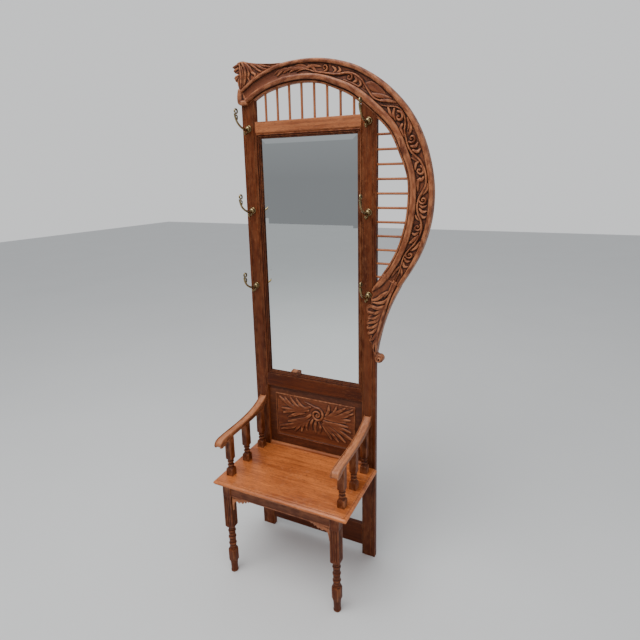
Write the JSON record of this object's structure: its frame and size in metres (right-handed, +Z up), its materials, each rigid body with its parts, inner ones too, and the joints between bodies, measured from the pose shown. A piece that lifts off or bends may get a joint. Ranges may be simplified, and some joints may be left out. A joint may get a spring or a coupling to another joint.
{
  "type": "hall tree with hooks",
  "caption": "Tall oak hall tree: bevelled mirror, seat with arms, brass coat hooks, and a carved harp-shaped crest that ends in a lion's head.",
  "frame": {"origin": "middle of the base of the box round the whole piece, on the floor", "axes": "+Z up, +X to the right of someone facing the piece, +Y towards the wall behind it; the seat faces -Y"},
  "size_m": [0.8442, 0.381, 2.171],
  "materials": {
    "oak_frame": "dark reddish oak, satin shellac",
    "oak_carved": "carved oak, dark stain left in the hollows",
    "oak_seat": "orange brown oak board, polished",
    "oak_rail": "quarter-sawn oak with ray fleck, polished",
    "pine_back": "raw pine boards, dry",
    "mirror": "silvered plate glass with a bevelled edge",
    "antique_brass": "cast brass, darkened, bright where rubbed"
  },
  "bodies": {
    "root": {"top_rail": "oak_rail", "mirror_rail": "oak_frame", "seat_rail": "oak_frame", "lower_rail": "oak_frame", "left_stile": "oak_frame", "left_front_leg": "oak_frame", "left_side_apron": "oak_frame", "left_apron_bracket": "oak_carved", "left_arm": "oak_rail", "left_front_spindle": "oak_frame", "left_middle_spindle": "oak_frame", "left_back_spindle": "oak_frame", "left_top_hook": "antique_brass", "left_middle_hook": "antique_brass", "left_low_hook": "antique_brass", "right_stile": "oak_frame", "right_front_leg": "oak_frame", "right_side_apron": "oak_frame", "right_apron_bracket": "oak_carved", "right_arm": "oak_rail", "right_front_spindle": "oak_frame", "right_middle_spindle": "oak_frame", "right_back_spindle": "oak_frame", "right_top_hook": "antique_brass", "right_middle_hook": "antique_brass", "right_low_hook": "antique_brass", "seat_board": "oak_seat", "seat_back_strip": "oak_frame", "front_apron": "oak_frame", "back_panel": "oak_frame", "panel_bead": "oak_frame", "carved_panel": "oak_carved", "mirror_moulding": "oak_frame", "mirror_glass": "mirror", "mirror_backboard": "pine_back", "harp_left": "oak_carved", "harp_shoulder": "oak_carved", "harp_side": "oak_carved", "harp_foot": "oak_carved", "lion_head": "oak_carved", "upright_rod_1": "oak_rail", "upright_rod_2": "oak_rail", "upright_rod_3": "oak_rail", "upright_rod_4": "oak_rail", "upright_rod_5": "oak_rail", "upright_rod_6": "oak_rail", "upright_rod_7": "oak_rail", "upright_rod_8": "oak_rail", "side_rod_1": "oak_rail", "side_rod_2": "oak_rail", "side_rod_3": "oak_rail", "side_rod_4": "oak_rail", "side_rod_5": "oak_rail", "side_rod_6": "oak_rail", "side_rod_7": "oak_rail", "side_rod_8": "oak_rail", "side_rod_9": "oak_rail", "side_rod_10": "oak_rail", "side_rod_11": "oak_rail"}
  },
  "joints": []
}
